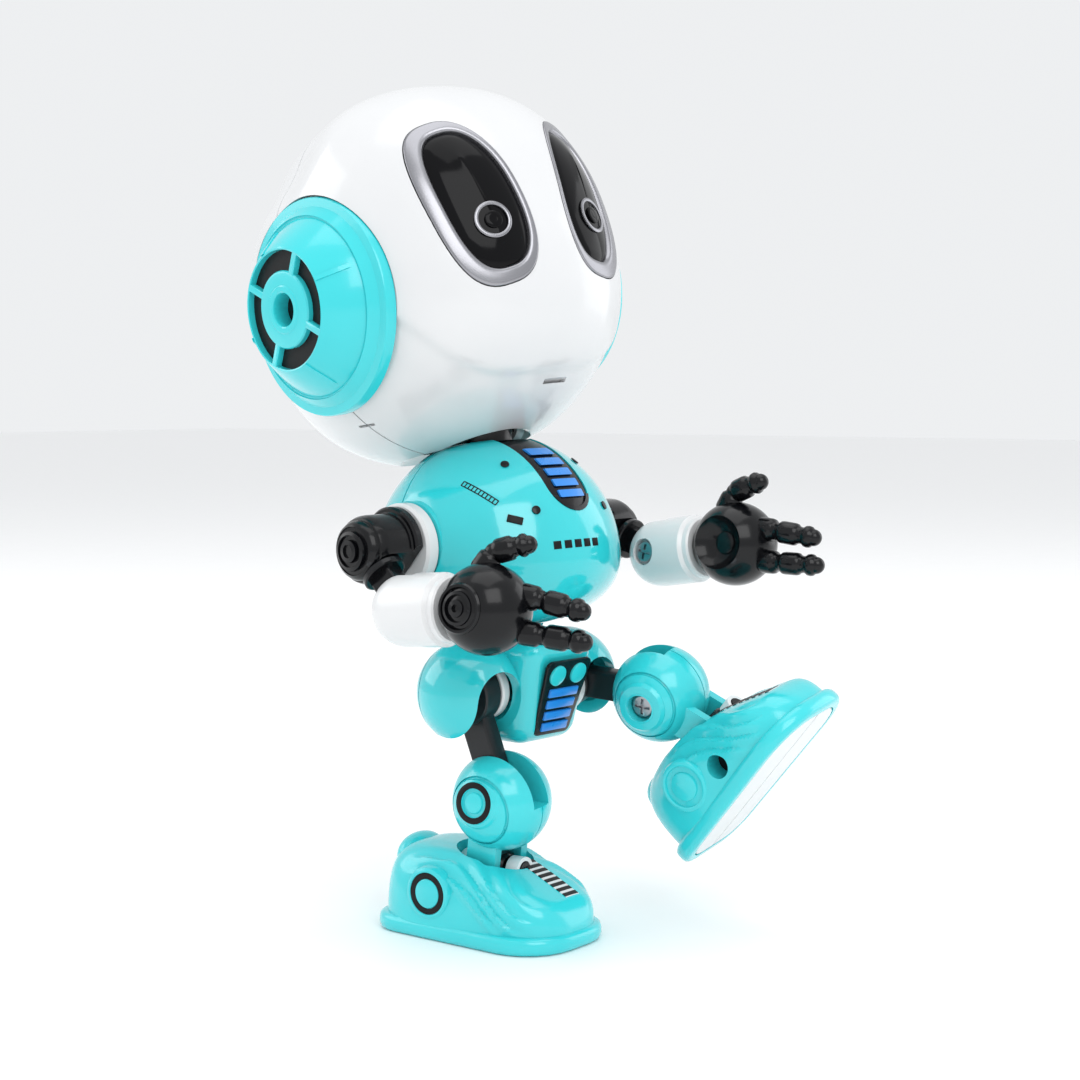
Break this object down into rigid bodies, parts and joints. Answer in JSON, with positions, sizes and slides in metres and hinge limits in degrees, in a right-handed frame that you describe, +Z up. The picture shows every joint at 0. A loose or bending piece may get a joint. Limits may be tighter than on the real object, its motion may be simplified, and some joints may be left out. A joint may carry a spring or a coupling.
{
  "type": "posable toy robot",
  "caption": "Posable toy robot with a large round head, slanted eyes and ball-jointed arms and legs, standing on one foot.",
  "frame": {"origin": "centre of the standing (right) foot's sole, on the floor", "axes": "+Z up, the robot faces -Y, its right side is -X; joint value 0 is the pose in which it is pictured"},
  "size_m": [0.0611, 0.0845, 0.1187],
  "materials": {
    "head_white": "gloss",
    "turquoise_metal": "gloss paint",
    "turquoise_plastic": "gloss",
    "white_plastic": "gloss",
    "black_plastic": "satin",
    "black_metal": "satin paint",
    "silver_trim": "silver paint",
    "lens_black": "high gloss",
    "panel_blue": "gloss",
    "sole_pad": "matte",
    "steel": "plain",
    "cell_steel": "plain",
    "board_green": "matte"
  },
  "bodies": {
    "foot_right": {"foot_right_shell": "turquoise_plastic", "foot_right_sole": "sole_pad"},
    "ankle_right": {"ankle_right_cross": "black_plastic"},
    "shin_right": {"shin_right_outer": "turquoise_plastic", "shin_right_inner": "turquoise_plastic", "shin_right_screw": "steel"},
    "thigh_right": {"thigh_right_link": "black_metal"},
    "hip_right": {"hip_right_bush": "white_plastic"},
    "pelvis": {"pelvis_front_shell": "turquoise_metal", "pelvis_rear_shell": "turquoise_metal", "pelvis_panel": "black_plastic", "pelvis_trim": "panel_blue"},
    "hip_left": {"hip_left_bush": "white_plastic"},
    "thigh_left": {"thigh_left_link": "black_metal"},
    "shin_left": {"shin_left_outer": "turquoise_plastic", "shin_left_inner": "turquoise_plastic", "shin_left_screw": "steel"},
    "ankle_left": {"ankle_left_cross": "black_plastic"},
    "foot_left": {"foot_left_sole": "sole_pad", "foot_left_shell": "turquoise_plastic"},
    "waist": {"waist_swivel": "black_plastic"},
    "torso": {"torso_front_shell": "turquoise_metal", "torso_rear_shell": "turquoise_metal", "chest_panel": "black_plastic", "chest_bars": "panel_blue", "collar_right": "white_plastic", "collar_left": "white_plastic", "torso_screws": "black_plastic"},
    "neck": {"neck_swivel": "black_plastic"},
    "shoulder_right": {"shoulder_right": "black_plastic"},
    "upper_arm_right": {"upper_arm_right": "black_plastic"},
    "forearm_right": {"forearm_right_outer": "white_plastic", "forearm_right_inner": "white_plastic", "elbow_right_screw": "steel"},
    "hand_right": {"hand_right": "black_plastic"},
    "shoulder_left": {"shoulder_left": "black_plastic"},
    "upper_arm_left": {"upper_arm_left": "black_plastic"},
    "forearm_left": {"forearm_left_outer": "white_plastic", "forearm_left_inner": "white_plastic", "elbow_left_screw": "steel"},
    "hand_left": {"hand_left": "black_plastic"},
    "head": {"head_chassis": "head_white", "head_front_shell": "head_white", "head_rear_shell": "head_white", "eye_bezel_right": "silver_trim", "eye_bezel_left": "silver_trim", "eye_lens_right": "lens_black", "eye_lens_left": "lens_black", "pupil_rings": "silver_trim", "ear_disc_right": "turquoise_plastic", "ear_disc_left": "turquoise_plastic", "ear_insert_right": "black_plastic", "ear_insert_left": "black_plastic", "speaker": "black_plastic", "circuit_board": "board_green", "button_cells": "cell_steel", "battery_door": "head_white", "door_screw": "steel"},
    "power_switch": {"power_switch": "black_plastic"}
  },
  "joints": [
    {"name": "ankle_roll_right", "type": "hinge", "parent": "foot_right", "child": "ankle_right", "pos_m": [0, -0.001, 0.0094], "axis": [0, 1, 0], "range_deg": [-2, 4]},
    {"name": "ankle_pitch_right", "type": "hinge", "parent": "ankle_right", "child": "shin_right", "pos_m": [0, -0.001, 0.0094], "axis": [0.9925, 0, 0.1219], "range_deg": [-6, 3]},
    {"name": "knee_right", "type": "hinge", "parent": "shin_right", "child": "thigh_right", "pos_m": [-0.00119, -0.00308, 0.01911], "axis": [0.9925, 0, 0.1219], "range_deg": [-14, 36]},
    {"name": "hip_swing_right", "type": "hinge", "parent": "thigh_right", "child": "hip_right", "pos_m": [-0.00302, 0.00122, 0.03399], "axis": [0.9925, 0, 0.1219], "range_deg": [-16, 14]},
    {"name": "hip_splay_right", "type": "hinge", "parent": "hip_right", "child": "pelvis", "pos_m": [-0.00302, 0.00122, 0.03399], "axis": [-0.0862, -0.7071, 0.7018], "range_deg": [-6, 6]},
    {"name": "hip_splay_left", "type": "hinge", "parent": "pelvis", "child": "hip_left", "pos_m": [0.01686, -0.00099, 0.0342], "axis": [-0.0862, -0.7071, 0.7018], "range_deg": [-8, 6]},
    {"name": "hip_swing_left", "type": "hinge", "parent": "hip_left", "child": "thigh_left", "pos_m": [0.01686, -0.00099, 0.0342], "axis": [0.9746, 0.0862, 0.2065], "range_deg": [-2, 70]},
    {"name": "knee_left", "type": "hinge", "parent": "thigh_left", "child": "shin_left", "pos_m": [0.01851, -0.01644, 0.03283], "axis": [0.9746, 0.0862, 0.2065], "range_deg": [-60, 17]},
    {"name": "ankle_pitch_left", "type": "hinge", "parent": "shin_left", "child": "ankle_left", "pos_m": [0.02026, -0.02514, 0.02821], "axis": [0.9746, 0.0862, 0.2065], "range_deg": [-14, 0.5]},
    {"name": "ankle_roll_left", "type": "hinge", "parent": "ankle_left", "child": "foot_left", "pos_m": [0.02026, -0.02514, 0.02821], "axis": [0.1004, 0.6564, -0.7477], "range_deg": [-6, 1]},
    {"name": "waist_turn", "type": "hinge", "parent": "pelvis", "child": "waist", "pos_m": [0.00711, 0.00264, 0.04302], "axis": [-0.0113, -0.0062, 0.9999], "range_deg": [-25, 25]},
    {"name": "waist_tilt", "type": "hinge", "parent": "waist", "child": "torso", "pos_m": [0.00711, 0.00264, 0.04302], "axis": [0.9893, -0.1452, 0.0103], "range_deg": [-3, 12]},
    {"name": "neck_turn", "type": "hinge", "parent": "torso", "child": "neck", "pos_m": [0.00742, 0.00673, 0.07021], "axis": [0.0115, 0.1487, 0.9888], "range_deg": [-35, 35]},
    {"name": "neck_tilt", "type": "hinge", "parent": "neck", "child": "head", "pos_m": [0.00742, 0.00673, 0.07021], "axis": [0.9768, -0.2131, 0.0207], "range_deg": [-2, 7]},
    {"name": "power_slide", "type": "slide", "parent": "head", "child": "power_switch", "axis": [0.9786, -0.1873, 0.0855], "range_m": [-0.0018, 0.0018]},
    {"name": "shoulder_swing_right", "type": "hinge", "parent": "torso", "child": "shoulder_right", "pos_m": [-0.00978, 0.00687, 0.05431], "axis": [0.9893, -0.1452, 0.0103], "range_deg": [-28, 12]},
    {"name": "arm_turn_right", "type": "hinge", "parent": "shoulder_right", "child": "upper_arm_right", "pos_m": [-0.01651, 0.00785, 0.05424], "axis": [0.0984, 0.7194, 0.6876], "range_deg": [-15, 15]},
    {"name": "elbow_right", "type": "hinge", "parent": "upper_arm_right", "child": "forearm_right", "pos_m": [-0.01759, -0.00006, 0.04668], "axis": [0.9946, -0.0493, -0.0908], "range_deg": [-30, 22]},
    {"name": "wrist_right", "type": "hinge", "parent": "forearm_right", "child": "hand_right", "pos_m": [-0.01793, -0.00803, 0.04728], "axis": [0.0425, 0.9963, -0.0753], "range_deg": [-60, 60]},
    {"name": "shoulder_swing_left", "type": "hinge", "parent": "torso", "child": "shoulder_left", "pos_m": [0.02425, 0.00187, 0.05466], "axis": [0.9893, -0.1452, 0.0103], "range_deg": [-28, 12]},
    {"name": "arm_turn_left", "type": "hinge", "parent": "shoulder_left", "child": "upper_arm_left", "pos_m": [0.03098, 0.00088, 0.05473], "axis": [0.1373, 0.9541, 0.2663], "range_deg": [-15, 15]},
    {"name": "elbow_left", "type": "hinge", "parent": "upper_arm_left", "child": "forearm_left", "pos_m": [0.02947, -0.00961, 0.05181], "axis": [0.989, -0.117, -0.0905], "range_deg": [-30, 18]},
    {"name": "wrist_left", "type": "hinge", "parent": "forearm_left", "child": "hand_left", "pos_m": [0.02865, -0.01748, 0.05298], "axis": [0.103, 0.9838, -0.1471], "range_deg": [-60, 60]}
  ]
}
